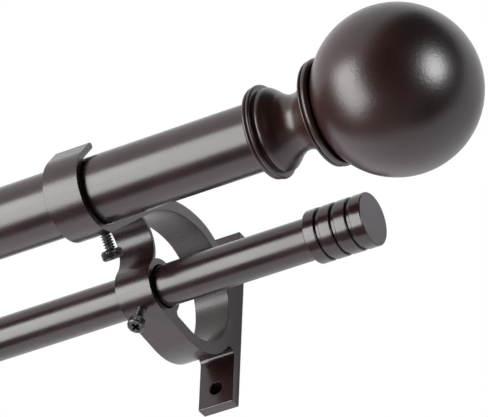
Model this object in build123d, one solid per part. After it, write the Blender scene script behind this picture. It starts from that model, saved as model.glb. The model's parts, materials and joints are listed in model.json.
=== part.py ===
from build123d import *
import math
import os

# Frame: origin on the wall face of the right bracket, midway between its two screw holes.
# +X runs along the rods to the right-hand finial, +Y points into the wall, +Z is up. Millimetres.

# Bracket extrusion
BRACKET_WIDTH = 15.0
PLATE_HEIGHT = 78.0
PLATE_THICK = 4.7
WALL_HOLE_SPACING = 62.0
WALL_HOLE_DIA = 5.5
FRONT_AXIS = (-99.6, -2.55)
BACK_AXIS = (-54.4, -17.55)
LOOP_CENTRE = (-33.6, -1.7)
LOOP_WALL = 5.0
PLATE_FILLET = 2.6
EYE_FILLET = 1.5
HEEL_ROUND = 1.0
CUP_BORE_R = 13.5
CUP_WALL = 2.5
LIP_ANGLE = 147.0
LIP_LENGTH = 8.0
WEB_CENTRE = (-72.9, -7.55)
WEB_WALL = 1.6
EYE_BORE_R = 8.4
EYE_WALL = 2.5

# Rods
FRONT_OD = 25.4
BACK_OD = 15.875
TUBE_WALL = 0.7
SLIDE_GAP = 0.6
ROD_LENGTH = 711.0
FRONT_OVERHANG = 77.5
BACK_OVERHANG = 92.3
EXPOSED_INNER = 39.0
INNER_END_GAP = 21.0
GLIDE_RIM = 5.0
GLIDE_SPIGOT = 14.0
GLIDE_WALL = 1.6
GLIDE_GAP = 0.25

# Finials and end caps
BALL_R = 31.0
BALL_CENTRE = 54.0
BALL_NECK_R = 16.0
STUD_R = 3.0
STUD_IN_FINIAL = 18.0
PLUG_LENGTH = 20.0
CAP_R = 10.15
CAP_LENGTH = 24.2
CAP_FLOOR = 4.0
CAP_GROOVES = 3
GROOVE_WIDTH = 1.3
GROOVE_DEPTH = 0.9

# Set screws: angle from the wall direction, thread and head
FRONT_SCREW = {"angle": -47.0, "x": 3.3, "thread_r": 2.1, "head_r": 4.15, "head_h": 3.7, "out": 5.9}
BACK_SCREW = {"angle": -107.5, "x": 0.0, "thread_r": 1.75, "head_r": 3.6, "head_h": 3.4, "out": 6.3}
SCREW_TIP_GAP = 0.25
FIT = 0.05

cup_outer_r = CUP_BORE_R + CUP_WALL
eye_outer_r = EYE_BORE_R + EYE_WALL
loop_outer_r = -LOOP_CENTRE[0] - PLATE_THICK
loop_inner_r = loop_outer_r - LOOP_WALL

# Places along the rods, closed to the shortest length
left_bracket_x = 2 * FRONT_OVERHANG - ROD_LENGTH
right_end_x = FRONT_OVERHANG
left_end_x = left_bracket_x - FRONT_OVERHANG
back_right_x = BACK_OVERHANG
back_left_x = left_bracket_x - BACK_OVERHANG
mouth_x = left_end_x + EXPOSED_INNER
inner_end_x = right_end_x - PLUG_LENGTH - INNER_END_GAP - GLIDE_RIM

# Tube radii
front_bore_r = FRONT_OD / 2 - TUBE_WALL
back_bore_r = BACK_OD / 2 - TUBE_WALL
front_inner_r = front_bore_r - SLIDE_GAP
back_inner_r = back_bore_r - SLIDE_GAP


def polar(centre, radius, angle):
    a = math.radians(angle)
    return (centre[0] + radius * math.cos(a), centre[1] + radius * math.sin(a))


def band(centre, r_in, r_out, start, sweep):
    """Sector of a ring, used for every curved wall of the extrusion."""
    outer = CenterArc(centre, r_out, start, sweep)
    inner = CenterArc(centre, r_in, start, sweep)
    ends = [Line(outer @ 0, inner @ 0), Line(outer @ 1, inner @ 1)]
    return make_face([outer, inner, *ends])


def disc(centre, radius):
    return Pos(*centre) * Circle(radius)


def arm_face():
    """Arm from the cup up to the crown of the loop: a 45 degree straight, then one tangent arc."""
    crown = LOOP_CENTRE[1] + loop_inner_r
    span = LOOP_CENTRE[0] - FRONT_AXIS[0] - (crown - FRONT_AXIS[1])
    radius = (span * math.sqrt(0.5) - cup_outer_r) / (1 - math.sqrt(0.5))
    centre = (LOOP_CENTRE[0], crown - radius)
    under = CenterArc(centre, radius, 90, 45)
    over = CenterArc(centre, radius + LOOP_WALL, 90, 45)
    foot = polar(FRONT_AXIS, cup_outer_r, -45)
    heel = polar(FRONT_AXIS, cup_outer_r - LOOP_WALL, -45)
    edges = [under, over, Line(under @ 0, over @ 0), Line(under @ 1, foot)]
    edges += [Line(over @ 1, heel), Line(foot, heel)]
    return make_face(edges) - disc(FRONT_AXIS, CUP_BORE_R)


def cup_face():
    """Open cup for the front rod, with a straight lip that ends in a round nose."""
    cup = band(FRONT_AXIS, CUP_BORE_R, cup_outer_r, LIP_ANGLE, 315 - LIP_ANGLE)
    a = math.radians(LIP_ANGLE)
    along = Vector(math.sin(a), -math.cos(a)) * LIP_LENGTH
    inside = Vector(*polar(FRONT_AXIS, CUP_BORE_R, LIP_ANGLE))
    outside = Vector(*polar(FRONT_AXIS, cup_outer_r, LIP_ANGLE))
    lip = make_face(Polyline(inside, outside, outside + along, inside + along, close=True))
    nose = (inside + outside) * 0.5 + along
    return cup + lip + disc((nose.X, nose.Y), CUP_WALL / 2)


def link_face():
    """Straight wall on the common tangent below the eye and the loop."""
    dy = LOOP_CENTRE[0] - BACK_AXIS[0]
    dz = LOOP_CENTRE[1] - BACK_AXIS[1]
    rise = math.degrees(math.asin((loop_outer_r - eye_outer_r) / math.hypot(dy, dz)))
    normal = math.degrees(math.atan2(dz, dy)) - rise - 90
    corners = [polar(BACK_AXIS, eye_outer_r, normal), polar(LOOP_CENTRE, loop_outer_r, normal)]
    corners += [polar(LOOP_CENTRE, loop_inner_r, normal)]
    corners += [polar(BACK_AXIS, eye_outer_r - LOOP_WALL, normal)]
    return make_face(Polyline(*corners, close=True)), normal


def root_face():
    """Fillets that run the loop into the wall plate above and below."""
    front = -PLATE_THICK
    cy = front - PLATE_FILLET
    reach = loop_outer_r + PLATE_FILLET
    dz = math.sqrt(reach**2 - (cy - LOOP_CENTRE[0]) ** 2)
    low, high = LOOP_CENTRE[1] - dz, LOOP_CENTRE[1] + dz
    points = [LOOP_CENTRE, (cy, low), (front, low), (front, high), (cy, high)]
    root = make_face(Polyline(*points, close=True)) - disc(LOOP_CENTRE, loop_inner_r)
    return root - disc((cy, low), PLATE_FILLET) - disc((cy, high), PLATE_FILLET)


def web_face():
    """Thin curved wall that hangs from the arm and runs tangent into the eye."""
    dy = BACK_AXIS[0] - WEB_CENTRE[0]
    dz = BACK_AXIS[1] - WEB_CENTRE[1]
    inner_r = math.hypot(dy, dz) - eye_outer_r
    start = math.degrees(math.atan2(dz, dy))
    return band(WEB_CENTRE, inner_r, inner_r + WEB_WALL, start, 90 - start)


def bracket_profile():
    link, link_normal = link_face()
    plate = Pos(-PLATE_THICK / 2, 0) * Rectangle(PLATE_THICK, PLATE_HEIGHT)
    loop = band(LOOP_CENTRE, loop_inner_r, loop_outer_r, link_normal, 90 - link_normal)
    profile = plate + loop + root_face() + arm_face() + cup_face() + web_face() + link
    profile += disc(BACK_AXIS, eye_outer_r)
    inside_eye = polar(BACK_AXIS, eye_outer_r, link_normal + 60)
    profile = fillet(profile.vertices().sort_by_distance(inside_eye)[0], EYE_FILLET)
    heel = polar(FRONT_AXIS, CUP_BORE_R, -10)
    profile = fillet(profile.vertices().sort_by_distance(heel)[0], HEEL_ROUND)
    return profile - disc(BACK_AXIS, EYE_BORE_R)


def screw_line(screw, axis):
    """Point on the rod axis and outward direction of a set screw."""
    a = math.radians(screw["angle"])
    return Vector(screw["x"], *axis), Vector(0, math.cos(a), math.sin(a))


def bracket():
    body = extrude(Plane.YZ * bracket_profile(), BRACKET_WIDTH / 2, both=True)
    for z in (-WALL_HOLE_SPACING / 2, WALL_HOLE_SPACING / 2):
        hole = Cylinder(WALL_HOLE_DIA / 2, 30)
        body -= Pos(0, 0, z) * Rot(90, 0, 0) * hole
    for screw, axis in ((FRONT_SCREW, FRONT_AXIS), (BACK_SCREW, BACK_AXIS)):
        origin, out = screw_line(screw, axis)
        bore = Cylinder(screw["thread_r"] + FIT, 20, align=(Align.CENTER, Align.CENTER, Align.MIN))
        body -= Plane(origin, z_dir=out) * bore
    return body


def set_screw(screw, axis, rod_r, wall_r):
    """Thumb screw: shank from just off the rod to the head, knurled head with a cross recess."""
    origin, out = screw_line(screw, axis)
    tip = rod_r + SCREW_TIP_GAP
    head = wall_r + screw["out"]
    up = (Align.CENTER, Align.CENTER, Align.MIN)
    shank = Pos(0, 0, tip) * Cylinder(screw["thread_r"], head - tip + 0.5, align=up)
    shank = chamfer(shank.edges().sort_by(Axis.Z)[0], 0.4)
    knob = Pos(0, 0, head) * Cylinder(screw["head_r"], screw["head_h"], align=up)
    knob = chamfer(knob.edges().filter_by(GeomType.CIRCLE), 0.45)
    top = head + screw["head_h"]
    slot = Pos(0, 0, top) * Box(screw["head_r"] * 1.05, 0.9, 3.0)
    return Plane(origin, z_dir=out) * (shank + knob - slot - Rot(0, 0, 90) * slot)


def tube(outer_r, x0, x1, axis):
    ring = Circle(outer_r) - Circle(outer_r - TUBE_WALL)
    return Plane((x0, *axis), z_dir=(1, 0, 0)) * extrude(ring, x1 - x0)


def turned(points, x0, axis, sign):
    """Solid of revolution about a rod axis; points are (distance from the rod end, radius)."""
    half = make_face(points)
    solid = revolve(half, Axis.X, 360)
    if sign < 0:
        solid = mirror(solid, Plane.YZ)
    return Pos(x0, *axis) * solid


def ball_finial(x0, sign):
    """Turned neck with two beaded flanges and a cove, run into a ball."""
    ball_x = BALL_CENTRE - math.sqrt(BALL_R**2 - BALL_NECK_R**2)
    outline = [
        Polyline((0, 0), (0, 16.7), (0.4, 17.2), (1.0, 17.2), (1.4, 16.7)),
        Spline((1.4, 16.7), (2.7, 17.6), (4.3, 16.8), tangents=((0.3, 1), (0.5, -1))),
        Polyline((4.3, 16.8), (4.8, 16.3), (5.2, 16.1)),
        Spline(
            (5.2, 16.1), (9.5, 12.9), (13.8, 10.6), (18.0, 11.2), (24.4, 15.4),
            tangents=((0.6, -1), (0.6, 1)),
        ),
        Polyline((24.4, 15.4), (24.4, 19.2), (24.8, 19.7), (25.4, 19.7), (25.7, 19.3)),
        Spline((25.7, 19.3), (26.7, 20.1), (28.2, 18.8), tangents=((0.3, 1), (0.1, -1))),
        Polyline((28.2, 18.8), (27.6, 16.6), (ball_x, BALL_NECK_R)),
        ThreePointArc((ball_x, BALL_NECK_R), (BALL_CENTRE, BALL_R), (BALL_CENTRE + BALL_R, 0)),
        Line((BALL_CENTRE + BALL_R, 0), (0, 0)),
    ]
    bore = Plane.YZ * Cylinder(STUD_R + FIT, 2 * (STUD_IN_FINIAL + 1))
    finial = turned(outline, x0, FRONT_AXIS, sign)
    return finial - Pos(x0, *FRONT_AXIS) * bore


def finial_stud(x0, sign):
    shank = Cylinder(STUD_R, STUD_IN_FINIAL + PLUG_LENGTH)
    shank = chamfer(shank.edges().filter_by(GeomType.CIRCLE), 0.6)
    shift = sign * (STUD_IN_FINIAL - PLUG_LENGTH) / 2
    return Plane((x0 + shift, *FRONT_AXIS), z_dir=(1, 0, 0)) * shank


def finial_plug(x0, sign, tube_bore_r):
    plug = Cylinder(tube_bore_r - FIT, PLUG_LENGTH) - Cylinder(STUD_R + FIT, PLUG_LENGTH)
    outer = plug.edges().filter_by(GeomType.CIRCLE).sort_by(SortBy.RADIUS)[-2:]
    plug = chamfer(outer, 0.8)
    return Plane((x0 - sign * PLUG_LENGTH / 2, *FRONT_AXIS), z_dir=(1, 0, 0)) * plug


def end_cap(rod_end, sign, rod_r):
    """Cap with turned grooves that slips over the rod; its floor rests on the rod end."""
    mouth = CAP_LENGTH - CAP_FLOOR
    up = (Align.CENTER, Align.CENTER, Align.MIN)
    cap = Cylinder(CAP_R, CAP_LENGTH, align=up)
    cap = chamfer(cap.edges().filter_by(GeomType.CIRCLE), 0.5)
    pitch = (CAP_LENGTH + GROOVE_WIDTH) / (CAP_GROOVES + 1)
    for i in range(1, CAP_GROOVES + 1):
        groove = Cylinder(CAP_R + 1, GROOVE_WIDTH) - Cylinder(CAP_R - GROOVE_DEPTH, GROOVE_WIDTH)
        cap -= Pos(0, 0, i * pitch - GROOVE_WIDTH / 2) * groove
    cap -= Cylinder(rod_r + FIT, mouth, align=up)
    return Plane((rod_end - sign * mouth, *BACK_AXIS), z_dir=(sign, 0, 0)) * cap


def glide(tube_end, tube_r, outer_bore_r, axis):
    """Bush pressed into the hidden end of an inner tube; its rim runs in the outer tube."""
    up = (Align.CENTER, Align.CENTER, Align.MIN)
    rim = Cylinder(outer_bore_r - GLIDE_GAP, GLIDE_RIM, align=up)
    rim = chamfer(rim.edges().sort_by(Axis.Z)[-1], 0.8)
    tube_bore_r = tube_r - TUBE_WALL
    foot = Pos(0, 0, -GLIDE_SPIGOT)
    spigot = foot * Cylinder(tube_bore_r - FIT, GLIDE_SPIGOT, align=up)
    hollow = foot * Cylinder(tube_bore_r - GLIDE_WALL, GLIDE_SPIGOT + GLIDE_RIM, align=up)
    return Plane((tube_end, *axis), z_dir=(1, 0, 0)) * (rim + spigot - hollow)


one_bracket = bracket()
front_screw = set_screw(FRONT_SCREW, FRONT_AXIS, FRONT_OD / 2, cup_outer_r)
back_screw = set_screw(BACK_SCREW, BACK_AXIS, BACK_OD / 2, eye_outer_r)
to_left = Pos(left_bracket_x, 0, 0)

nodes = {
    "right_bracket": one_bracket,
    "left_bracket": to_left * one_bracket,
    "front_rod_outer_tube": tube(FRONT_OD / 2, mouth_x, right_end_x, FRONT_AXIS),
    "front_rod_inner_tube": tube(front_inner_r, left_end_x, inner_end_x, FRONT_AXIS),
    "back_rod_outer_tube": tube(BACK_OD / 2, mouth_x, back_right_x, BACK_AXIS),
    "back_rod_inner_tube": tube(back_inner_r, back_left_x, inner_end_x, BACK_AXIS),
    "front_rod_glide": glide(inner_end_x, front_inner_r, front_bore_r, FRONT_AXIS),
    "back_rod_glide": glide(inner_end_x, back_inner_r, back_bore_r, BACK_AXIS),
    "right_ball_finial": ball_finial(right_end_x, 1),
    "left_ball_finial": ball_finial(left_end_x, -1),
    "right_finial_stud": finial_stud(right_end_x, 1),
    "left_finial_stud": finial_stud(left_end_x, -1),
    "right_finial_plug": finial_plug(right_end_x, 1, front_bore_r),
    "left_finial_plug": finial_plug(left_end_x, -1, front_inner_r - TUBE_WALL),
    "right_end_cap": end_cap(back_right_x, 1, BACK_OD / 2),
    "left_end_cap": end_cap(back_left_x, -1, back_inner_r),
    "right_front_set_screw": front_screw,
    "right_back_set_screw": back_screw,
    "left_front_set_screw": to_left * front_screw,
    "left_back_set_screw": to_left * back_screw,
}

os.makedirs("parts", exist_ok=True)
for name, shape in nodes.items():
    export_step(shape, f"parts/{name}.step")
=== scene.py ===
import json
import math
from contextlib import contextmanager

import bpy
from bpy.props import FloatProperty, FloatVectorProperty, IntProperty, PointerProperty
from mathutils import Euler, Matrix, Vector


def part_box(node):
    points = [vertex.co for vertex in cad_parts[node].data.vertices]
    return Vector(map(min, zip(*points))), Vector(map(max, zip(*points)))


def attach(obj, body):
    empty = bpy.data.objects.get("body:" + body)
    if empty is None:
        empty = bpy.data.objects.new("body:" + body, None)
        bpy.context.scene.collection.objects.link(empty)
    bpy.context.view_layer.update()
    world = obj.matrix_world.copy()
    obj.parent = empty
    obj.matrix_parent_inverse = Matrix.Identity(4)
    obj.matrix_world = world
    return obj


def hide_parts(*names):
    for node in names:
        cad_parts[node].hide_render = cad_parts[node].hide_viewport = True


bl_info = {
    "name": "Double Curtain Rod",
    "version": (1, 0, 0),
    "blender": (4, 5, 0),
    "location": "View3D > Sidebar > Curtain Rod",
    "description": "Models and dresses a double telescoping curtain rod on its packed frame",
    "category": "Object",
}

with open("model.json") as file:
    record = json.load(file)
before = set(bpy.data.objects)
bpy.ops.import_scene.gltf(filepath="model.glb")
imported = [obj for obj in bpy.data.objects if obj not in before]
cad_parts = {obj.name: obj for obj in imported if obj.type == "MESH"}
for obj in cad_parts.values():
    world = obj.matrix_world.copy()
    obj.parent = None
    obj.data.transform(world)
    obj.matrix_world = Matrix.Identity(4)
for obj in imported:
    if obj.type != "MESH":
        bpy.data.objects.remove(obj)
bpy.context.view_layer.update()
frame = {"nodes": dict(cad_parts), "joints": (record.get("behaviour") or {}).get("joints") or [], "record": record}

MM = 0.001
WELD = 0.002 * MM
PAINT_IOR = 1.6

body_of = {
    node: body
    for body, members in frame["record"]["behaviour"]["bodies"].items()
    for node in members
}
travel = {joint["child"]: Vector(joint["axis"]) for joint in frame["joints"]}


def middle(node):
    low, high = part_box(node)
    return (low + high) / 2


def span(node):
    low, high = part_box(node)
    return high - low


def round_radius(node):
    """Radius of a node that is round about a rod's axis."""
    return max(span(node).y, span(node).z) / 2


def reach(node, origin, direction):
    """Nearest and farthest distance of a node from the origin, along a direction."""
    far = [(v.co - origin).dot(direction) for v in frame["nodes"][node].data.vertices]
    return min(far), max(far)


front_axis = middle("front_rod_outer_tube")
back_axis = middle("back_rod_outer_tube")


# Settings


class TubeSettings(bpy.types.PropertyGroup):
    sides: IntProperty(name="Sides", description="Facets round each tube", default=144, min=24)
    wall: FloatProperty(
        name="Wall", description="Wall of the rolled steel tube", default=0.7 * MM, unit="LENGTH"
    )
    rim: FloatProperty(
        name="Rim Round", description="Round on the cut ends", default=0.15 * MM, unit="LENGTH"
    )


class BracketSettings(bpy.types.PropertyGroup):
    edge: FloatProperty(
        name="Edge Break", description="Tumbled break on the sawn edges", default=0.3 * MM, unit="LENGTH"
    )


class FinialSettings(bpy.types.PropertyGroup):
    ball: FloatProperty(
        name="Ball Radius",
        description="Radius of the ball",
        default=span("right_ball_finial").z / 2,
        unit="LENGTH",
    )
    flange: FloatProperty(
        name="Flange Radius", description="Root of the flange beads", default=16.5 * MM, unit="LENGTH"
    )
    neck: FloatProperty(
        name="Neck Radius", description="Narrowest part of the cove", default=10.6 * MM, unit="LENGTH"
    )
    collar: FloatProperty(
        name="Collar Radius", description="Root of the collar beads", default=19.0 * MM, unit="LENGTH"
    )
    bore: FloatProperty(
        name="Stud Bore", description="Radius of the hole for the stud", default=3.05 * MM, unit="LENGTH"
    )
    bore_depth: FloatProperty(
        name="Bore Depth", description="Depth of the hole for the stud", default=19 * MM, unit="LENGTH"
    )
    turns: IntProperty(name="Steps", description="Steps of the turning", default=144, min=32)
    ball_steps: IntProperty(
        name="Ball Steps", description="Steps of the ball's outline", default=72, min=16
    )


class CapSettings(bpy.types.PropertyGroup):
    grooves: IntProperty(name="Grooves", description="Turned grooves round the cap", default=3, min=0)
    groove_width: FloatProperty(
        name="Groove Width", description="Width of a groove", default=1.5 * MM, unit="LENGTH"
    )
    groove_depth: FloatProperty(
        name="Groove Depth", description="Depth of a groove", default=0.9 * MM, unit="LENGTH"
    )
    edge: FloatProperty(
        name="Edge Round", description="Round on the turned edges", default=0.45 * MM, unit="LENGTH"
    )
    floor: FloatProperty(
        name="Floor", description="Thickness of the closed end", default=4 * MM, unit="LENGTH"
    )
    fit: FloatProperty(
        name="Fit", description="Gap between the cap and the rod", default=0.05 * MM, unit="LENGTH"
    )


class ScrewSettings(bpy.types.PropertyGroup):
    front_head: FloatProperty(
        name="Front Head", description="Radius of the front heads", default=4.15 * MM, unit="LENGTH"
    )
    front_height: FloatProperty(
        name="Front Height", description="Height of the front heads", default=3.7 * MM, unit="LENGTH"
    )
    front_thread: FloatProperty(
        name="Front Thread", description="Radius of the front threads", default=2.1 * MM, unit="LENGTH"
    )
    back_head: FloatProperty(
        name="Back Head", description="Radius of the back heads", default=3.6 * MM, unit="LENGTH"
    )
    back_height: FloatProperty(
        name="Back Height", description="Height of the back heads", default=3.4 * MM, unit="LENGTH"
    )
    back_thread: FloatProperty(
        name="Back Thread", description="Radius of the back threads", default=1.75 * MM, unit="LENGTH"
    )
    pitch: FloatProperty(
        name="Pitch", description="Pitch of the thread", default=1.05 * MM, unit="LENGTH"
    )
    thread_depth: FloatProperty(
        name="Thread Depth", description="Depth of the thread", default=0.65 * MM, unit="LENGTH"
    )
    thread_sides: IntProperty(
        name="Thread Sides", description="Facets round the thread and its core", default=40, min=12
    )
    chamfer: FloatProperty(
        name="Chamfer", description="Chamfer on the rims of the head", default=0.45 * MM, unit="LENGTH"
    )
    knurl_pitch: FloatProperty(
        name="Knurl Pitch", description="Width of a knurl diamond", default=0.78 * MM, unit="LENGTH"
    )
    knurl_rise: FloatProperty(
        name="Knurl Rise",
        description="Length of a knurl diamond along the screw",
        default=0.975 * MM,
        unit="LENGTH",
    )
    knurl_height: FloatProperty(
        name="Knurl Height", description="Relief of a knurl diamond", default=0.36 * MM, unit="LENGTH"
    )
    recess_arm: FloatProperty(
        name="Recess Arm", description="Arm of the cross, as a share of the head's radius", default=0.66
    )
    recess_width: FloatProperty(
        name="Recess Width",
        description="Half width of an arm, as a share of the head's radius",
        default=0.18,
    )
    recess_depth: FloatProperty(
        name="Recess Depth", description="Depth of the cross recess", default=2.2 * MM, unit="LENGTH"
    )
    recess_turn: FloatProperty(
        name="Recess Turn",
        description="Turn of the cross recess",
        default=math.radians(20),
        subtype="ANGLE",
    )


class FinishSettings(bpy.types.PropertyGroup):
    bronze: FloatVectorProperty(
        name="Bronze", description="Dark bronze paint", subtype="COLOR", default=(0.0195, 0.0065, 0.0062)
    )
    bronze_cloud: FloatVectorProperty(
        name="Bronze Cloud",
        description="Cloudy tone in the bronze paint",
        subtype="COLOR",
        default=(0.029, 0.0120, 0.0115),
    )
    finial: FloatVectorProperty(
        name="Finial",
        description="Warmer bronze paint of the finials",
        subtype="COLOR",
        default=(0.021, 0.0048, 0.0042),
    )
    finial_cloud: FloatVectorProperty(
        name="Finial Cloud",
        description="Cloudy tone in the paint of the finials",
        subtype="COLOR",
        default=(0.031, 0.0090, 0.0082),
    )
    oxide: FloatVectorProperty(
        name="Black Oxide", description="Blackened steel", subtype="COLOR", default=(0.045, 0.045, 0.048)
    )
    oxide_worn: FloatVectorProperty(
        name="Worn Oxide", description="Rubbed black oxide", subtype="COLOR", default=(0.24, 0.24, 0.25)
    )
    zinc: FloatVectorProperty(
        name="Zinc", description="Plated studs", subtype="COLOR", default=(0.62, 0.63, 0.65)
    )
    zinc_worn: FloatVectorProperty(
        name="Worn Zinc", description="Rubbed plating", subtype="COLOR", default=(0.42, 0.42, 0.4)
    )
    moulded: FloatVectorProperty(
        name="Moulded Black", description="Plugs and glides", subtype="COLOR", default=(0.02, 0.02, 0.021)
    )
    moulded_cloud: FloatVectorProperty(
        name="Moulded Cloud",
        description="Cloudy tone in the moulded black",
        subtype="COLOR",
        default=(0.035, 0.035, 0.036),
    )


class StudioSettings(bpy.types.PropertyGroup):
    floor_colour: FloatVectorProperty(
        name="Floor", description="Colour of the floor", subtype="COLOR", default=(0.72, 0.72, 0.72)
    )
    floor_size: FloatProperty(
        name="Floor Size", description="Side of the floor", default=16, unit="LENGTH"
    )
    floor_z: FloatProperty(
        name="Floor Height", description="Height of the floor", default=-2.4, unit="LENGTH"
    )
    floor_lift: FloatProperty(
        name="Floor Lift", description="Brightness added to the floor as the camera sees it", default=0.8
    )
    wall_y: FloatProperty(
        name="Wall", description="Face of the board behind the brackets", default=0.5 * MM, unit="LENGTH"
    )
    # Painted shade: near-black colour of the sheet behind the screw holes, standing for the wall in shade behind
    # the plate.
    hole_shade_colour: FloatVectorProperty(
        name="Hole",
        description="Dark behind the screw holes",
        subtype="COLOR",
        default=(0.02, 0.019, 0.019),
    )
    board_colour: FloatVectorProperty(
        name="Board",
        description="White board in the reflections",
        subtype="COLOR",
        default=(0.96, 0.94, 0.98),
    )
    board_glow: FloatProperty(
        name="Board Glow", description="Brightness added to the board", default=0.32
    )
    room_colour: FloatVectorProperty(
        name="Room", description="Dim room in the reflections", subtype="COLOR", default=(0.3, 0.3, 0.3)
    )
    room_radius: FloatProperty(
        name="Room Radius", description="Radius of the dim room", default=4, unit="LENGTH"
    )
    ambient: FloatProperty(name="Ambient", description="Strength of the even light", default=0.10)
    key: FloatProperty(name="Key", description="Brightness of the tall front softbox", default=7.6)
    key_size: FloatVectorProperty(
        name="Key Size",
        description="Width and height of the softbox",
        size=2,
        default=(0.95, 1.72),
        unit="LENGTH",
    )
    key_distance: FloatProperty(
        name="Key Distance", description="From the ball to the softbox", default=1.6, unit="LENGTH"
    )
    side: FloatProperty(name="Side", description="Brightness of the round side lamp", default=13.0)
    side_size: FloatVectorProperty(
        name="Side Size",
        description="Width and height of the side lamp",
        size=2,
        default=(0.68, 0.86),
        unit="LENGTH",
    )
    side_distance: FloatProperty(
        name="Side Distance", description="From the ball to the side lamp", default=1.4, unit="LENGTH"
    )
    lens: FloatProperty(
        name="Lens", description="Focal length of the camera, in millimetres", default=332.04
    )
    camera_place: FloatVectorProperty(
        name="Camera Place",
        description="Place of the camera, below the rods and out in the room",
        subtype="TRANSLATION",
        default=(0.76333, -1.18361, -0.97255),
    )
    camera_turn: FloatVectorProperty(
        name="Camera Turn",
        description="Tilt, roll and heading of the camera",
        subtype="EULER",
        default=[math.radians(angle) for angle in (126.1614, -1.9556, 31.1824)],
    )


class CurtainRodSettings(bpy.types.PropertyGroup):
    tube: PointerProperty(type=TubeSettings)
    bracket: PointerProperty(type=BracketSettings)
    finial: PointerProperty(type=FinialSettings)
    cap: PointerProperty(type=CapSettings)
    screw: PointerProperty(type=ScrewSettings)
    finish: PointerProperty(type=FinishSettings)
    studio: PointerProperty(type=StudioSettings)


# Modelling helpers


def only(obj):
    """Make one object the selected and active one."""
    bpy.ops.object.select_all(action="DESELECT")
    obj.select_set(True)
    bpy.context.view_layer.objects.active = obj


def primitive(kind, **settings):
    """Add a mesh primitive by itself."""
    bpy.ops.object.select_all(action="DESELECT")
    getattr(bpy.ops.mesh, f"primitive_{kind}_add")(**settings)
    return bpy.context.object


@contextmanager
def editing(obj):
    """Edit mode on one object alone, with its whole mesh selected."""
    only(obj)
    bpy.ops.object.mode_set(mode="EDIT")
    bpy.ops.mesh.select_all(action="SELECT")
    yield
    bpy.ops.object.mode_set(mode="OBJECT")


def select_faces(obj, wanted):
    """In edit mode, select just the faces that the test wants."""
    bpy.ops.mesh.select_mode(type="FACE")
    bpy.ops.mesh.select_all(action="DESELECT")
    bpy.ops.object.mode_set(mode="OBJECT")
    for face in obj.data.polygons:
        face.select = wanted(face)
    bpy.ops.object.mode_set(mode="EDIT")


def select_edges(obj, wanted):
    """In edit mode, select just the edges whose two ends the test wants."""
    bpy.ops.mesh.select_mode(type="EDGE")
    bpy.ops.mesh.select_all(action="DESELECT")
    bpy.ops.object.mode_set(mode="OBJECT")
    points = obj.data.vertices
    for edge in obj.data.edges:
        a, b = edge.vertices
        edge.select = wanted(points[a].co, points[b].co)
    bpy.ops.object.mode_set(mode="EDIT")


def extrude(shift):
    bpy.ops.mesh.extrude_region_move(TRANSFORM_OT_translate={"value": shift})


def widen(factor):
    """In edit mode, scale the selection about the Z axis."""
    bpy.ops.transform.resize(value=(factor, factor, 1), center_override=(0, 0, 0))


def tidy_shell():
    """In edit mode, weld the seams and turn every face outwards."""
    bpy.ops.mesh.select_all(action="SELECT")
    bpy.ops.mesh.remove_doubles(threshold=WELD)
    bpy.ops.mesh.normals_make_consistent(inside=False)


def modify(obj, kind, **settings):
    """Add a modifier, set it and apply it."""
    only(obj)
    bpy.ops.object.modifier_add(type=kind)
    modifier = obj.modifiers[-1]
    for key, value in settings.items():
        setattr(modifier, key, value)
    bpy.ops.object.modifier_apply(modifier=modifier.name)


def settle(obj):
    """Put the object's place into its mesh."""
    only(obj)
    bpy.ops.object.transform_apply(location=True, rotation=True, scale=True)


def smooth(obj, degrees=32):
    """Smooth shading up to an angle, with the large faces keeping their own direction."""
    only(obj)
    bpy.ops.object.shade_smooth_by_angle(angle=math.radians(degrees))
    modify(obj, "WEIGHTED_NORMAL", weight=90, keep_sharp=True)


def join(obj, *others):
    """Make the others part of the first object."""
    only(obj)
    for other in others:
        other.select_set(True)
    bpy.ops.object.join()


def twin(obj, name):
    """Copy with its own mesh."""
    only(obj)
    bpy.ops.object.duplicate(linked=False)
    copy = bpy.context.object
    copy.name = name
    return copy


def dress(obj, node, material):
    """Hand a finished piece to the frame in place of its CAD node."""
    obj.name = f"{node}_dressed"
    obj.data.materials.clear()
    obj.data.materials.append(material)
    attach(obj, body_of[node])
    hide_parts(node)


def bead(start, end, root, height, steps=10):
    """Half-round bead of an outline, from (start, root) over to (end, root)."""
    half = (end - start) / 2
    angles = [math.pi * (1 - i / steps) for i in range(steps + 1)]
    return [(start + half + half * math.cos(a), root + height * math.sin(a)) for a in angles]


def curve_through(points, steps=8):
    """Smooth outline through points, with the slope at each taken from its neighbours."""
    knots = [Vector(p) for p in points]
    knots = [2 * knots[0] - knots[1], *knots, 2 * knots[-1] - knots[-2]]
    line = []
    for a, b, c, d in zip(knots, knots[1:], knots[2:], knots[3:]):
        for i in range(steps):
            t = i / steps
            bend = (2 * a - 5 * b + 4 * c - d) * t * t + (3 * b - 3 * c + d - a) * t**3
            line.append(tuple(b + ((c - a) * t + bend) / 2))
    return [*line, tuple(points[-1])]


def drawn_line(name, points):
    """Line of edges, extruded from point to point."""
    obj = primitive("plane", size=MM)
    obj.name = name
    with editing(obj):
        bpy.ops.mesh.select_mode(type="VERT")
        bpy.ops.mesh.merge(type="CENTER")
        bpy.ops.transform.translate(value=points[0])
        for here, there in zip(points, points[1:]):
            bpy.ops.mesh.extrude_vertices_move(TRANSFORM_OT_translate={"value": there - here})
    return obj


def turned(name, outline, end, axis, sign, steps):
    """Turn a half outline of (distance from the rod end, radius) about a rod's axis."""
    rows = [Vector((end + sign * u, axis.y, axis.z + r)) for u, r in outline]
    obj = drawn_line(name, rows)
    with editing(obj):
        bpy.ops.mesh.spin(steps=steps, angle=math.tau, center=(end, axis.y, axis.z), axis=(1, 0, 0))
        tidy_shell()
    return obj


# Shader helpers


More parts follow.
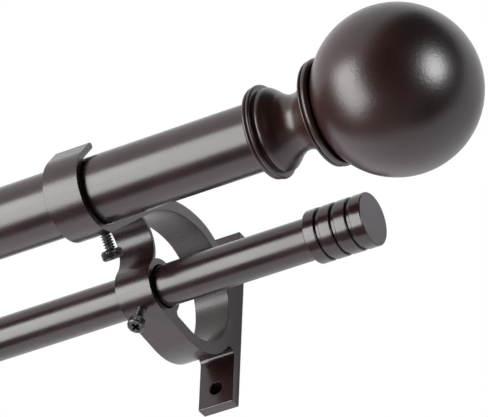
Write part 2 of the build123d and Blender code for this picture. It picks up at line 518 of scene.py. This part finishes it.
def add(tree, kind, inputs=None, **settings):
    """Add a node; an input is given a value or a socket to link from."""
    node = tree.nodes.new(kind)
    for key, value in settings.items():
        setattr(node, key, value)
    for key, value in (inputs or {}).items():
        if isinstance(value, bpy.types.NodeSocket):
            tree.links.new(value, node.inputs[key])
        else:
            node.inputs[key].default_value = value
    return node


def calc(tree, operation, *values, clamp=False):
    """Result of a Math node on values or sockets."""
    inputs = dict(enumerate(values))
    return add(tree, "ShaderNodeMath", inputs, operation=operation, use_clamp=clamp).outputs[0]


def noise(tree, place, scale, detail):
    """Level of a noise texture, from 0 to 1 about one half."""
    return add(tree, "ShaderNodeTexNoise", {"Vector": place, "Scale": scale, "Detail": detail}).outputs[0]


def swing(tree, level, width):
    """A level from 0 to 1, turned into one that swings evenly about zero."""
    return calc(tree, "MULTIPLY_ADD", level, width, -width / 2)


def step_between(tree, level, low, high):
    """0 up to the low level, 1 from the high level on."""
    return add(tree, "ShaderNodeMapRange", {"Value": level, "From Min": low, "From Max": high}).outputs[0]


def blend(tree, mask, first, second):
    """Colour that goes from the first socket to the second with the mask."""
    first_colour, second_colour, mixed_colour = 6, 7, 2
    inputs = {"Factor": mask, first_colour: first, second_colour: second}
    return add(tree, "ShaderNodeMix", inputs, data_type="RGBA").outputs[mixed_colour]


def effect_group(name, inputs):
    """Empty shader node group for colour, roughness and height, with the sockets inside it."""
    tree = bpy.data.node_groups.new(name, "ShaderNodeTree")
    outputs = {"Color": "NodeSocketColor", "Roughness": "NodeSocketFloat", "Height": "NodeSocketFloat"}
    for in_out, sockets in (("INPUT", inputs), ("OUTPUT", outputs)):
        for label, kind in sockets.items():
            tree.interface.new_socket(label, in_out=in_out, socket_type=kind)
    return tree, add(tree, "NodeGroupInput").outputs, add(tree, "NodeGroupOutput").inputs


def paint_film():
    """Sprayed satin paint: faint clouds, orange peel, and a grain that can be drawn out along an axis."""
    if "paint_film" in bpy.data.node_groups:
        return bpy.data.node_groups["paint_film"]
    tree, given, out = effect_group(
        "paint_film",
        {
            "Paint": "NodeSocketColor",
            "Cloud": "NodeSocketColor",
            "Roughness": "NodeSocketFloat",
            "Grain Scale": "NodeSocketVector",
            "Grain": "NodeSocketFloat",
        },
    )
    place = add(tree, "ShaderNodeTexCoord").outputs["Object"]
    cloud = noise(tree, place, scale=55.0, detail=5.0)
    peel = noise(tree, place, scale=850.0, detail=2.0)
    drawn = add(tree, "ShaderNodeMapping", {"Vector": place, "Scale": given["Grain Scale"]}).outputs[0]
    grain = swing(tree, noise(tree, drawn, scale=1.0, detail=4.0), width=1.0)
    grain = calc(tree, "MULTIPLY", grain, given["Grain"])
    mask = calc(tree, "ADD", step_between(tree, cloud, low=0.38, high=0.68), grain, clamp=True)
    sheen = calc(tree, "ADD", swing(tree, cloud, width=0.12), given["Roughness"])
    grain_sheen, peel_height = 0.25, 0.5
    rough = calc(tree, "MULTIPLY_ADD", grain, grain_sheen, sheen, clamp=True)
    height = calc(tree, "MULTIPLY_ADD", peel, peel_height, grain)
    tree.links.new(blend(tree, mask, given["Paint"], given["Cloud"]), out["Color"])
    tree.links.new(rough, out["Roughness"])
    tree.links.new(height, out["Height"])
    return tree


def rubbed_metal():
    """Plated or blackened metal: mottled skin with bare rubs and fine scratches."""
    if "rubbed_metal" in bpy.data.node_groups:
        return bpy.data.node_groups["rubbed_metal"]
    tree, given, out = effect_group(
        "rubbed_metal",
        {
            "Skin": "NodeSocketColor",
            "Rub": "NodeSocketColor",
            "Roughness": "NodeSocketFloat",
            "Wear": "NodeSocketFloat",
        },
    )
    place = add(tree, "ShaderNodeTexCoord").outputs["Object"]
    mottle = noise(tree, place, scale=1300.0, detail=4.0)
    slant = add(
        tree,
        "ShaderNodeMapping",
        {"Vector": place, "Rotation": (0.6, 0.3, 0.9), "Scale": (350.0, 4200.0, 4200.0)},
    ).outputs[0]
    scratch = noise(tree, slant, scale=1.0, detail=2.0)
    mottle_share, scratch_share = 0.55, 0.45
    scratched = calc(tree, "MULTIPLY", scratch, scratch_share)
    both = calc(tree, "MULTIPLY_ADD", mottle, mottle_share, scratched)
    mask = calc(tree, "MULTIPLY", step_between(tree, both, low=0.50, high=0.66), given["Wear"])
    rough = calc(tree, "ADD", swing(tree, mottle, width=0.2), given["Roughness"])
    tree.links.new(blend(tree, mask, given["Skin"], given["Rub"]), out["Color"])
    tree.links.new(rough, out["Roughness"])
    tree.links.new(both, out["Height"])
    return tree


def set_shader(material, **values):
    """Set sockets of a material's own shader; an underscore stands for a space in a socket's name."""
    sockets = material.node_tree.nodes["Principled BSDF"].inputs
    for key, value in values.items():
        sockets[key.replace("_", " ")].default_value = value


def surface(name, group, values, bump, **shader):
    """Material with one effect group and its own shader; bump is the relief in metres."""
    if name in bpy.data.materials:
        return bpy.data.materials[name]
    material = bpy.data.materials.new(name)
    material.use_nodes = True
    tree = material.node_tree
    bsdf = tree.nodes["Principled BSDF"]
    effect = add(tree, "ShaderNodeGroup", node_tree=group)
    for key, value in values.items():
        effect.inputs[key].default_value = value
    relief = add(tree, "ShaderNodeBump", {"Distance": bump, "Height": effect.outputs["Height"]})
    tree.links.new(effect.outputs["Color"], bsdf.inputs["Base Color"])
    tree.links.new(effect.outputs["Roughness"], bsdf.inputs["Roughness"])
    tree.links.new(relief.outputs["Normal"], bsdf.inputs["Normal"])
    set_shader(material, **shader)
    return material


def coated(name, finish, tone, roughness, grain_scale, grain, bump, **shader):
    """Paint or moulded skin in one tone of the finish, with that tone's clouds."""
    values = {
        "Paint": (*getattr(finish, tone), 1),
        "Cloud": (*getattr(finish, f"{tone}_cloud"), 1),
        "Roughness": roughness,
        "Grain Scale": grain_scale,
        "Grain": grain,
    }
    return surface(name, paint_film(), values, bump, **shader)


def rubbed(name, finish, tone, roughness, wear, metallic):
    """Metal skin in one tone of the finish, rubbed through to that tone's worn colour."""
    values = {
        "Skin": (*getattr(finish, tone), 1),
        "Rub": (*getattr(finish, f"{tone}_worn"), 1),
        "Roughness": roughness,
        "Wear": wear,
    }
    return surface(name, rubbed_metal(), values, bump=0.02 * MM, Metallic=metallic)


# Pieces


class CURTAIN_OT_tubes(bpy.types.Operator):
    """Model the outer and inner tubes of both rods"""

    bl_idname = "curtain.tubes"
    bl_label = "Rod Tubes"

    def execute(self, context):
        settings = context.scene.curtain_rod.tube
        paint = coated(
            "satin_bronze_tube",
            context.scene.curtain_rod.finish,
            "bronze",
            roughness=0.27,
            grain_scale=(60.0, 2200.0, 2200.0),
            grain=0.12,
            bump=0.003 * MM,
            IOR=PAINT_IOR,
        )
        for rod in ("front", "back"):
            for part in ("outer", "inner"):
                node = f"{rod}_rod_{part}_tube"
                dress(self.tube(node, settings), node, paint)
        return {"FINISHED"}

    def tube(self, node, settings):
        """Ring drawn out along the rod, given its wall and rounded rims."""
        low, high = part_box(node)
        axis = middle(node)
        obj = primitive(
            "circle",
            vertices=settings.sides,
            radius=round_radius(node),
            location=(low.x, axis.y, axis.z),
            rotation=(0, math.pi / 2, 0),
        )
        with editing(obj):
            extrude((high.x - low.x, 0, 0))
            tidy_shell()
        settle(obj)
        modify(obj, "SOLIDIFY", thickness=settings.wall, offset=-1)
        modify(
            obj,
            "BEVEL",
            width=settings.rim,
            segments=2,
            limit_method="ANGLE",
            angle_limit=math.radians(60),
        )
        smooth(obj)
        return obj


class CURTAIN_OT_brackets(bpy.types.Operator):
    """Break the sawn edges of the two bracket extrusions"""

    bl_idname = "curtain.brackets"
    bl_label = "Wall Brackets"

    def execute(self, context):
        settings = context.scene.curtain_rod.bracket
        paint = coated(
            "satin_bronze_bracket",
            context.scene.curtain_rod.finish,
            "bronze",
            roughness=0.27,
            grain_scale=(150.0, 3000.0, 3000.0),
            grain=0.45,
            bump=0.012 * MM,
            IOR=PAINT_IOR,
        )
        for node in ("right_bracket", "left_bracket"):
            dress(self.bracket(node, settings), node, paint)
        return {"FINISHED"}

    def bracket(self, node, settings):
        """Welded copy of the extrusion with its flat faces whole and its edges broken."""
        obj = bpy.data.objects.new(node, frame["nodes"][node].data.copy())
        bpy.context.collection.objects.link(obj)
        with editing(obj):
            bpy.ops.mesh.remove_doubles(threshold=WELD)
            bpy.ops.mesh.dissolve_limited(angle_limit=math.radians(0.5))
        modify(
            obj,
            "BEVEL",
            width=settings.edge,
            segments=2,
            limit_method="ANGLE",
            angle_limit=math.radians(40),
            use_clamp_overlap=False,
        )
        smooth(obj)
        return obj


class CURTAIN_OT_ball_finials(bpy.types.Operator):
    """Turn the two ball finials"""

    bl_idname = "curtain.ball_finials"
    bl_label = "Ball Finials"

    def execute(self, context):
        settings = context.scene.curtain_rod.finial
        paint = coated(
            "satin_bronze_finial",
            context.scene.curtain_rod.finish,
            "finial",
            roughness=0.315,
            grain_scale=(1400.0, 1400.0, 1400.0),
            grain=0.35,
            bump=0.08 * MM,
            IOR=PAINT_IOR,
        )
        right_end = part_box("right_ball_finial")[0].x
        left_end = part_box("left_ball_finial")[1].x
        right = turned("finial", self.outline(settings), right_end, front_axis, 1, settings.turns)
        left = twin(right, "finial_copy")
        with editing(left):
            centre = ((right_end + left_end) / 2, 0, 0)
            bpy.ops.transform.resize(value=(-1, 1, 1), center_override=centre)
            tidy_shell()
        for side, finial in (("right", right), ("left", left)):
            smooth(finial)
            dress(finial, f"{side}_ball_finial", paint)
        return {"FINISHED"}

    def outline(self, settings):
        """Bore, flange beads, shoulder, cove, collar beads and ball, from the rod end out."""
        flange, neck, collar = settings.flange, settings.neck, settings.collar
        flange_rim, flange_end = 1.7 * MM, 3.5 * MM
        collar_start, collar_rim, collar_end = 24.4 * MM, 25.7 * MM, 28.3 * MM
        shoulder, cove_end, ball_root = flange - 0.75 * MM, flange - 1.1 * MM, collar - 3 * MM
        cove = [
            (3.9 * MM, shoulder - 0.3 * MM),
            (5.0 * MM, shoulder),
            (6.4 * MM, shoulder - 0.4 * MM),
            (8.2 * MM, shoulder - 1.8 * MM),
            (10.4 * MM, neck + 1.5 * MM),
            (13.8 * MM, neck),
            (18.0 * MM, neck + 0.6 * MM),
            (collar_start, cove_end),
        ]
        line = [(settings.bore_depth, 0), (settings.bore_depth, settings.bore), (0, settings.bore)]
        line += bead(0, flange_rim, flange, height=0.7 * MM)
        line += bead(flange_rim, flange_end, flange + 0.1 * MM, height=1.0 * MM, steps=14)[1:]
        line += [(flange_end + 0.2 * MM, shoulder - 0.25 * MM)]
        line += curve_through(cove)
        line += bead(collar_start, collar_rim, collar, height=0.7 * MM)
        line += bead(collar_rim, collar_end, collar, height=1.1 * MM, steps=14)[1:]
        line += [(collar_end - 0.7 * MM, ball_root + 0.6 * MM)]
        return line + self.ball(settings, ball_root)

    def ball(self, settings, root):
        """Arc of the ball, from its root in the collar round to the pole."""
        radius, steps = settings.ball, settings.ball_steps
        centre = span("right_ball_finial").x - radius
        start = math.pi - math.asin(root / radius)
        angles = [start * (1 - i / steps) for i in range(steps + 1)]
        return [(centre + radius * math.cos(a), radius * math.sin(a)) for a in angles]


class CURTAIN_OT_end_caps(bpy.types.Operator):
    """Turn the two grooved end caps of the back rod"""

    bl_idname = "curtain.end_caps"
    bl_label = "End Caps"

    def execute(self, context):
        settings = context.scene.curtain_rod.cap
        steps = context.scene.curtain_rod.finial.turns
        paint = coated(
            "satin_bronze_cap",
            context.scene.curtain_rod.finish,
            "bronze",
            roughness=0.22,
            grain_scale=(1400.0, 1400.0, 1400.0),
            grain=0.3,
            bump=0.008 * MM,
            IOR=PAINT_IOR,
        )
        ends = (("right", 1, "back_rod_outer_tube"), ("left", -1, "back_rod_inner_tube"))
        for side, sign, tube in ends:
            node = f"{side}_end_cap"
            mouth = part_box(node)[0 if sign > 0 else 1].x
            bore = round_radius(tube) + settings.fit
            cap = turned("cap", self.outline(settings, node, bore), mouth, back_axis, sign, steps)
            smooth(cap)
            dress(cap, node, paint)
        return {"FINISHED"}

    def outline(self, settings, node, bore):
        """Blind bore, then bands with rounded edges between the grooves."""
        length = span(node).x
        radius = round_radius(node)
        band = (length - settings.grooves * settings.groove_width) / (settings.grooves + 1)
        inner = radius - settings.groove_depth
        deep = length - settings.floor
        line = [(deep, 0), (deep, bore), (0, bore)]
        for i in range(settings.grooves + 1):
            start = i * (band + settings.groove_width)
            line += self.band(start, start + band, radius, settings.edge)
            if i < settings.grooves:
                line += [(start + band, inner), (start + band + settings.groove_width, inner)]
        return line + [(length, 0)]

    def band(self, start, end, radius, edge, steps=4):
        """Top of one band, with a quarter round at each side."""
        angles = [math.radians(90 * i / steps) for i in range(steps + 1)]
        quarter = [(edge * (1 - math.sin(a)), radius - edge * (1 - math.cos(a))) for a in angles]
        rise = [(start + u, r) for u, r in reversed(quarter)]
        fall = [(end - u, r) for u, r in quarter]
        return rise + fall


class CURTAIN_OT_set_screws(bpy.types.Operator):
    """Model the knurled thumb screws and set them in the brackets"""

    bl_idname = "curtain.set_screws"
    bl_label = "Set Screws"

    def execute(self, context):
        settings = context.scene.curtain_rod.screw
        finish = context.scene.curtain_rod.finish
        oxide = rubbed("black_oxide_screw", finish, "oxide", roughness=0.32, wear=0.75, metallic=0.8)
        for rod, axis in (("front", front_axis), ("back", back_axis)):
            node = f"right_{rod}_set_screw"
            out = travel[node]
            origin = Vector((middle(node).x, axis.y, axis.z))
            tip, top = reach(node, origin, out)
            sizes = [getattr(settings, f"{rod}_{part}") for part in ("head", "height", "thread")]
            screw = self.screw(settings, tip, top, *sizes)
            turn = out.to_track_quat("Z", "X").to_matrix().to_4x4()
            screw.matrix_world = Matrix.Translation(origin) @ turn
            settle(screw)
            smooth(screw, degrees=25)
            copy = twin(screw, "screw_copy")
            with editing(copy):
                shift = middle("left_bracket") - middle("right_bracket")
                bpy.ops.transform.translate(value=shift)
            dress(screw, node, oxide)
            dress(copy, f"left_{rod}_set_screw", oxide)
        return {"FINISHED"}

    def screw(self, settings, tip, top, head_r, height, thread_r):
        """Head, core and thread of one screw along +Z, with Z counted from the rod's axis."""
        under = top - height
        head = self.head(settings, under, top, head_r)
        core = self.core(settings, tip, under, thread_r)
        thread = self.thread(settings, tip, under, thread_r)
        join(head, core, thread)
        return head

    def head(self, settings, under, top, radius):
        """Chamfered disc with a diamond knurl and a cross recess."""
        columns = round(math.tau * radius / settings.knurl_pitch)
        low, high = under + settings.chamfer, top - settings.chamfer
        rows = max(2, round((high - low) / settings.knurl_rise))
        rim = radius - settings.knurl_height
        face = rim - settings.chamfer
        obj = primitive("circle", vertices=columns, radius=face, fill_type="NGON", location=(0, 0, under))
        settle(obj)
        with editing(obj):
            extrude((0, 0, settings.chamfer))
            widen(rim / face)
            for _ in range(rows):
                extrude((0, 0, (high - low) / rows))
            extrude((0, 0, settings.chamfer))
            widen(face / rim)
            tidy_shell()
        self.knurl(obj, low, high, rows, settings.knurl_height)
        self.recess(obj, settings, top, radius)
        return obj

    def knurl(self, obj, low, high, rows, height):
        """Raise a diamond on every crossing of the grid round the head."""
        step = (high - low) / rows
        near = 0.1 * step

        def upright(face):
            return abs(face.normal.z) < 0.1

        def on_grid(z):
            ring = low + step * round((z - low) / step)
            return low - near < z < high + near and abs(z - ring) < near

        def along_rim(a, b):
            return abs(a.z - b.z) < near and min(abs(a.z - low), abs(a.z - high)) < near

        def old_edge(a, b):
            return on_grid(a.z) and on_grid(b.z) and not along_rim(a, b)

        with editing(obj):
            select_faces(obj, upright)
            bpy.ops.mesh.poke(offset=0)
            select_edges(obj, old_edge)
            bpy.ops.mesh.dissolve_edges(use_verts=False)
            select_faces(obj, lambda face: upright(face) and len(face.vertices) == 4)
            bpy.ops.mesh.poke(offset=height)

    def recess(self, obj, settings, top, radius):
        """Sink a tapered cross with rounded edges in the face of the head."""
        arm, width = settings.recess_arm * radius, settings.recess_width * radius
        half = Vector((arm, width, settings.recess_depth))
        taper, edge = (0.5, 0.7, 1), 0.12 * MM
        for turn in (0, math.pi / 2):
            blade = primitive("cube", size=1, location=(0, 0, top))
            blade.scale = 2 * half
            settle(blade)
            with editing(blade):
                select_faces(blade, lambda face: face.normal.z < -0.9)
                bpy.ops.transform.resize(value=taper, center_override=(0, 0, 0))
                bpy.ops.mesh.select_all(action="SELECT")
                bpy.ops.mesh.bevel(offset=edge, segments=2)
            blade.rotation_euler.z = turn + settings.recess_turn
            settle(blade)
            modify(obj, "BOOLEAN", operation="DIFFERENCE", object=blade, solver="EXACT")
            bpy.data.objects.remove(blade)
        with editing(obj):
            tidy_shell()

    def core(self, settings, tip, under, radius):
        """Plain root of the thread, with a chamfered tip and its top sunk in the head."""
        root = radius - settings.thread_depth
        tip_share, chamfer, sunk = 0.75, 0.35 * MM, 0.3 * MM
        obj = primitive(
            "circle",
            vertices=settings.thread_sides,
            radius=root * tip_share,
            fill_type="NGON",
            location=(0, 0, tip),
        )
        settle(obj)
        with editing(obj):
            extrude((0, 0, chamfer))
            widen(1 / tip_share)
            extrude((0, 0, under + sunk - tip - chamfer))
            tidy_shell()
        return obj

    def thread(self, settings, tip, under, radius):
        """Ridge of the thread: its closed outline swept up the core as a helix, with closed ends."""
        pitch, steps = settings.pitch, settings.thread_sides
        sunk, lead_in = 0.05 * MM, 0.3 * MM
        root = radius - settings.thread_depth - sunk
        start = tip + lead_in
        outline = [(0.12, root), (0.44, radius), (0.56, radius), (0.88, root), (0.12, root)]
        obj = drawn_line("thread", [Vector((r, 0, start + share * pitch)) for share, r in outline])
        with editing(obj):
            bpy.ops.mesh.remove_doubles(threshold=WELD)
        modify(
            obj,
            "SCREW",
            axis="Z",
            angle=math.tau,
            screw_offset=pitch,
            iterations=int((under - start) / pitch),
            steps=steps,
            render_steps=steps,
        )
        with editing(obj):
            bpy.ops.mesh.fill_holes(sides=4)
            tidy_shell()
        return obj


class CURTAIN_OT_inner_fittings(bpy.types.Operator):
    """Give the hidden studs, plugs and glides their finishes"""

    bl_idname = "curtain.inner_fittings"
    bl_label = "Inner Fittings"

    def execute(self, context):
        finish = context.scene.curtain_rod.finish
        zinc = rubbed("zinc_stud", finish, "zinc", roughness=0.34, wear=0.5, metallic=1.0)
        moulded = coated(
            "moulded_black",
            finish,
            "moulded",
            roughness=0.5,
            grain_scale=(1800.0, 1800.0, 1800.0),
            grain=0.6,
            bump=0.03 * MM,
        )
        for side in ("right", "left"):
            self.finish_node(f"{side}_finial_stud", zinc)
            self.finish_node(f"{side}_finial_plug", moulded)
        for rod in ("front", "back"):
            self.finish_node(f"{rod}_rod_glide", moulded)
        return {"FINISHED"}

    def finish_node(self, node, material):
        slots = frame["nodes"][node].data.materials
        slots.clear()
        slots.append(material)


# Stage, with places in metres from the wall face of the right bracket

KEY_DIRECTION = Vector((-0.60, -0.74, -0.255)).normalized()
SIDE_DIRECTION = Vector((0.973, -0.225, 0.04)).normalized()
BOARD_LEFT, BOARD_RIGHT = -0.75, 0.33
BOARD_BOTTOM, BOARD_TOP = -3.0, 0.6
ROOM_OPENING = {"plane_co": (-0.75, 0, 0.27), "plane_no": (-0.94, 0, 0.34)}
SCREEN_PLACE = (-2.0, -0.7, -0.4)
SCREEN_SIZE = (2.0, 2.6)
REFLECTED_LIFT = 0.15


class CURTAIN_OT_studio(bpy.types.Operator):
    """Set the floor, the painted shade behind the screw holes, what the paint reflects, the lamps, the even light
    and the camera
    """

    bl_idname = "curtain.studio"
    bl_label = "Studio"

    def execute(self, context):
        studio = context.scene.curtain_rod.studio
        self.floor(studio)
        self.hole_back(studio)
        self.wall(studio)
        self.dark_room(studio)
        self.even_light(context.scene, studio)
        ball = middle("right_ball_finial")
        key = ball + studio.key_distance * KEY_DIRECTION
        side = ball + studio.side_distance * SIDE_DIRECTION
        self.lamp("tall_softbox", key, ball, studio.key_size, studio.key)
        side_lamp = self.lamp("side_lamp", side, ball, studio.side_size, studio.side, shape="ELLIPSE")
        side_lamp.visible_diffuse = False
        self.camera(context.scene, studio)
        context.scene.view_settings.view_transform = "Standard"
        return {"FINISHED"}

    def matt(self, name, colour, **shader):
        """Material of one colour, which any glow takes too."""
        material = bpy.data.materials.new(name)
        material.use_nodes = True
        set_shader(material, Base_Color=(*colour, 1), Emission_Color=(*colour, 1), **shader)
        return material

    def one_sided(self, name, colour, lift=0.0):
        """Matt surface that shows its front only; lift brightens what the camera sees of it."""
        material = self.matt(name, colour, Roughness=0.9, Specular_IOR_Level=0.0)
        tree = material.node_tree
        bsdf = tree.nodes["Principled BSDF"]
        if lift:
            ray = add(tree, "ShaderNodeLightPath").outputs
            seen = calc(tree, "MAXIMUM", ray["Is Camera Ray"], ray["Is Transmission Ray"])
            seen = calc(tree, "MULTIPLY_ADD", ray["Is Glossy Ray"], REFLECTED_LIFT, seen)
            tree.links.new(calc(tree, "MULTIPLY", seen, lift), bsdf.inputs["Emission Strength"])
        clear = add(tree, "ShaderNodeBsdfTransparent")
        behind = add(tree, "ShaderNodeNewGeometry").outputs["Backfacing"]
        sides = add(tree, "ShaderNodeMixShader", {0: behind, 1: bsdf.outputs[0], 2: clear.outputs[0]})
        tree.links.new(sides.outputs[0], tree.nodes["Material Output"].inputs["Surface"])
        return material

    def upright_plane(self, name, place, width, height):
        """Plane that faces the room."""
        obj = primitive("plane", size=1, location=place, rotation=(math.pi / 2, 0, 0))
        obj.name = name
        obj.scale = (width, height, 1)
        settle(obj)
        return obj

    def floor(self, studio):
        """Floor of the room, up to the wall."""
        obj = primitive("plane", size=studio.floor_size, location=(0, 0, studio.floor_z))
        obj.name = "floor"
        settle(obj)
        with editing(obj):
            bpy.ops.mesh.bisect(plane_co=(0, studio.wall_y, 0), plane_no=(0, 1, 0), clear_outer=True)
        obj.data.materials.append(self.one_sided("pale_floor", studio.floor_colour, studio.floor_lift))

    def hole_back(self, studio):
        """Painted shade: a dark patch behind the screw holes of the fixed bracket, inside the outline of its
        plate, in place of the wall in shade seen through the holes.
        """
        place = (middle("right_bracket").x, studio.wall_y / 2, 0)
        width, height = 0.6 * span("right_bracket").x, 0.9 * span("right_bracket").z
        obj = self.upright_plane("hole_back", place, width, height)
        # Painted shade: a near-black matt sheet without gloss, in place of the shaded wall that the holes look
        # through.
        obj.data.materials.append(self.one_sided("dark_hole", studio.hole_shade_colour))

    def wall(self, studio):
        """White board behind the brackets, which only reflections see."""
        place = ((BOARD_LEFT + BOARD_RIGHT) / 2, studio.wall_y, (BOARD_BOTTOM + BOARD_TOP) / 2)
        obj = self.upright_plane("wall", place, BOARD_RIGHT - BOARD_LEFT, BOARD_TOP - BOARD_BOTTOM)
        self.reflected_only(obj, "white_wall", studio.board_colour, glow=studio.board_glow)

    def dark_room(self, studio):
        """Dim room with a screen on its left, open to the white up there; only reflections see it."""
        obj = primitive("uv_sphere", segments=48, ring_count=24, radius=studio.room_radius)
        obj.name = "dark_room"
        with editing(obj):
            bpy.ops.mesh.bisect(clear_outer=True, **ROOM_OPENING)
        screen = primitive("plane", size=1, location=SCREEN_PLACE, rotation=(0, math.pi / 2, 0))
        screen.scale = (*SCREEN_SIZE, 1)
        settle(screen)
        join(obj, screen)
        self.reflected_only(obj, "dim_room", studio.room_colour)

    def reflected_only(self, obj, name, colour, glow=0.0):
        """Finish a matt stage piece that is hidden from all but the reflections."""
        obj.data.materials.append(self.matt(name, colour, Roughness=1.0, Emission_Strength=glow))
        for ray in ("camera", "diffuse", "transmission", "volume_scatter", "shadow"):
            setattr(obj, f"visible_{ray}", False)

    def even_light(self, scene, studio):
        """White surround to the eye and in reflections, and a plain level of light from all round."""
        world = bpy.data.worlds.new("studio")
        scene.world = world
        world.use_nodes = True
        tree = world.node_tree
        even = tree.nodes["Background"]
        even.inputs["Color"].default_value = (1, 1, 1, 1)
        even.inputs["Strength"].default_value = studio.ambient
        white = add(tree, "ShaderNodeBackground", {"Color": (1, 1, 1, 1), "Strength": 1.0})
        ray = add(tree, "ShaderNodeLightPath").outputs
        seen = calc(tree, "MAXIMUM", ray["Is Camera Ray"], ray["Is Glossy Ray"])
        seen = calc(tree, "MAXIMUM", seen, ray["Is Transmission Ray"])
        mix = add(tree, "ShaderNodeMixShader", {0: seen, 1: even.outputs[0], 2: white.outputs[0]})
        tree.links.new(mix.outputs[0], tree.nodes["World Output"].inputs["Surface"])

    def lamp(self, name, place, target, size, brightness, shape="RECTANGLE"):
        """Softbox that faces the target; its power gives the brightness at its size."""
        data = bpy.data.lights.new(name, "AREA")
        data.shape = shape
        data.size, data.size_y = size
        area = size[0] * size[1] * (math.pi / 4 if shape == "ELLIPSE" else 1)
        data.energy = brightness * math.pi * area
        obj = bpy.data.objects.new(name, data)
        bpy.context.collection.objects.link(obj)
        turn = (target - place).to_track_quat("-Z", "Y").to_matrix().to_4x4()
        obj.matrix_world = Matrix.Translation(place) @ turn
        obj.visible_camera = False
        return obj

    def camera(self, scene, studio):
        """Long lens from the room, right of the finial and well below it."""
        data = bpy.data.cameras.new("camera")
        data.sensor_fit = "HORIZONTAL"
        data.sensor_width = 36
        data.lens = studio.lens
        data.clip_end = 100
        obj = bpy.data.objects.new("camera", data)
        bpy.context.collection.objects.link(obj)
        place, turn = Vector(studio.camera_place), Euler(studio.camera_turn)
        obj.matrix_world = Matrix.LocRotScale(place, turn, None)
        scene.camera = obj


class CURTAIN_PT_build(bpy.types.Panel):
    """Steps of the build, in order"""

    bl_idname = "CURTAIN_PT_build"
    bl_label = "Double Curtain Rod"
    bl_space_type = "VIEW_3D"
    bl_region_type = "UI"
    bl_category = "Curtain Rod"

    def draw(self, context):
        for step in STEPS:
            self.layout.operator(step.bl_idname)
        settings = context.scene.curtain_rod
        for group in settings.__annotations__:
            box = self.layout.box()
            box.label(text=group.title())
            values = getattr(settings, group)
            for key in values.__annotations__:
                box.prop(values, key)


STEPS = (
    CURTAIN_OT_tubes,
    CURTAIN_OT_brackets,
    CURTAIN_OT_ball_finials,
    CURTAIN_OT_end_caps,
    CURTAIN_OT_set_screws,
    CURTAIN_OT_inner_fittings,
    CURTAIN_OT_studio,
)
SETTINGS = (
    TubeSettings,
    BracketSettings,
    FinialSettings,
    CapSettings,
    ScrewSettings,
    FinishSettings,
    StudioSettings,
    CurtainRodSettings,
)


def register():
    for cls in (*SETTINGS, *STEPS, CURTAIN_PT_build):
        bpy.utils.register_class(cls)
    bpy.types.Scene.curtain_rod = PointerProperty(type=CurtainRodSettings)


def unregister():
    del bpy.types.Scene.curtain_rod
    for cls in reversed((*SETTINGS, *STEPS, CURTAIN_PT_build)):
        bpy.utils.unregister_class(cls)


def main():
    register()
    bpy.ops.curtain.tubes()
    bpy.ops.curtain.brackets()
    bpy.ops.curtain.ball_finials()
    bpy.ops.curtain.end_caps()
    bpy.ops.curtain.set_screws()
    bpy.ops.curtain.inner_fittings()
    bpy.ops.curtain.studio()


if __name__ == "__main__":
    main()
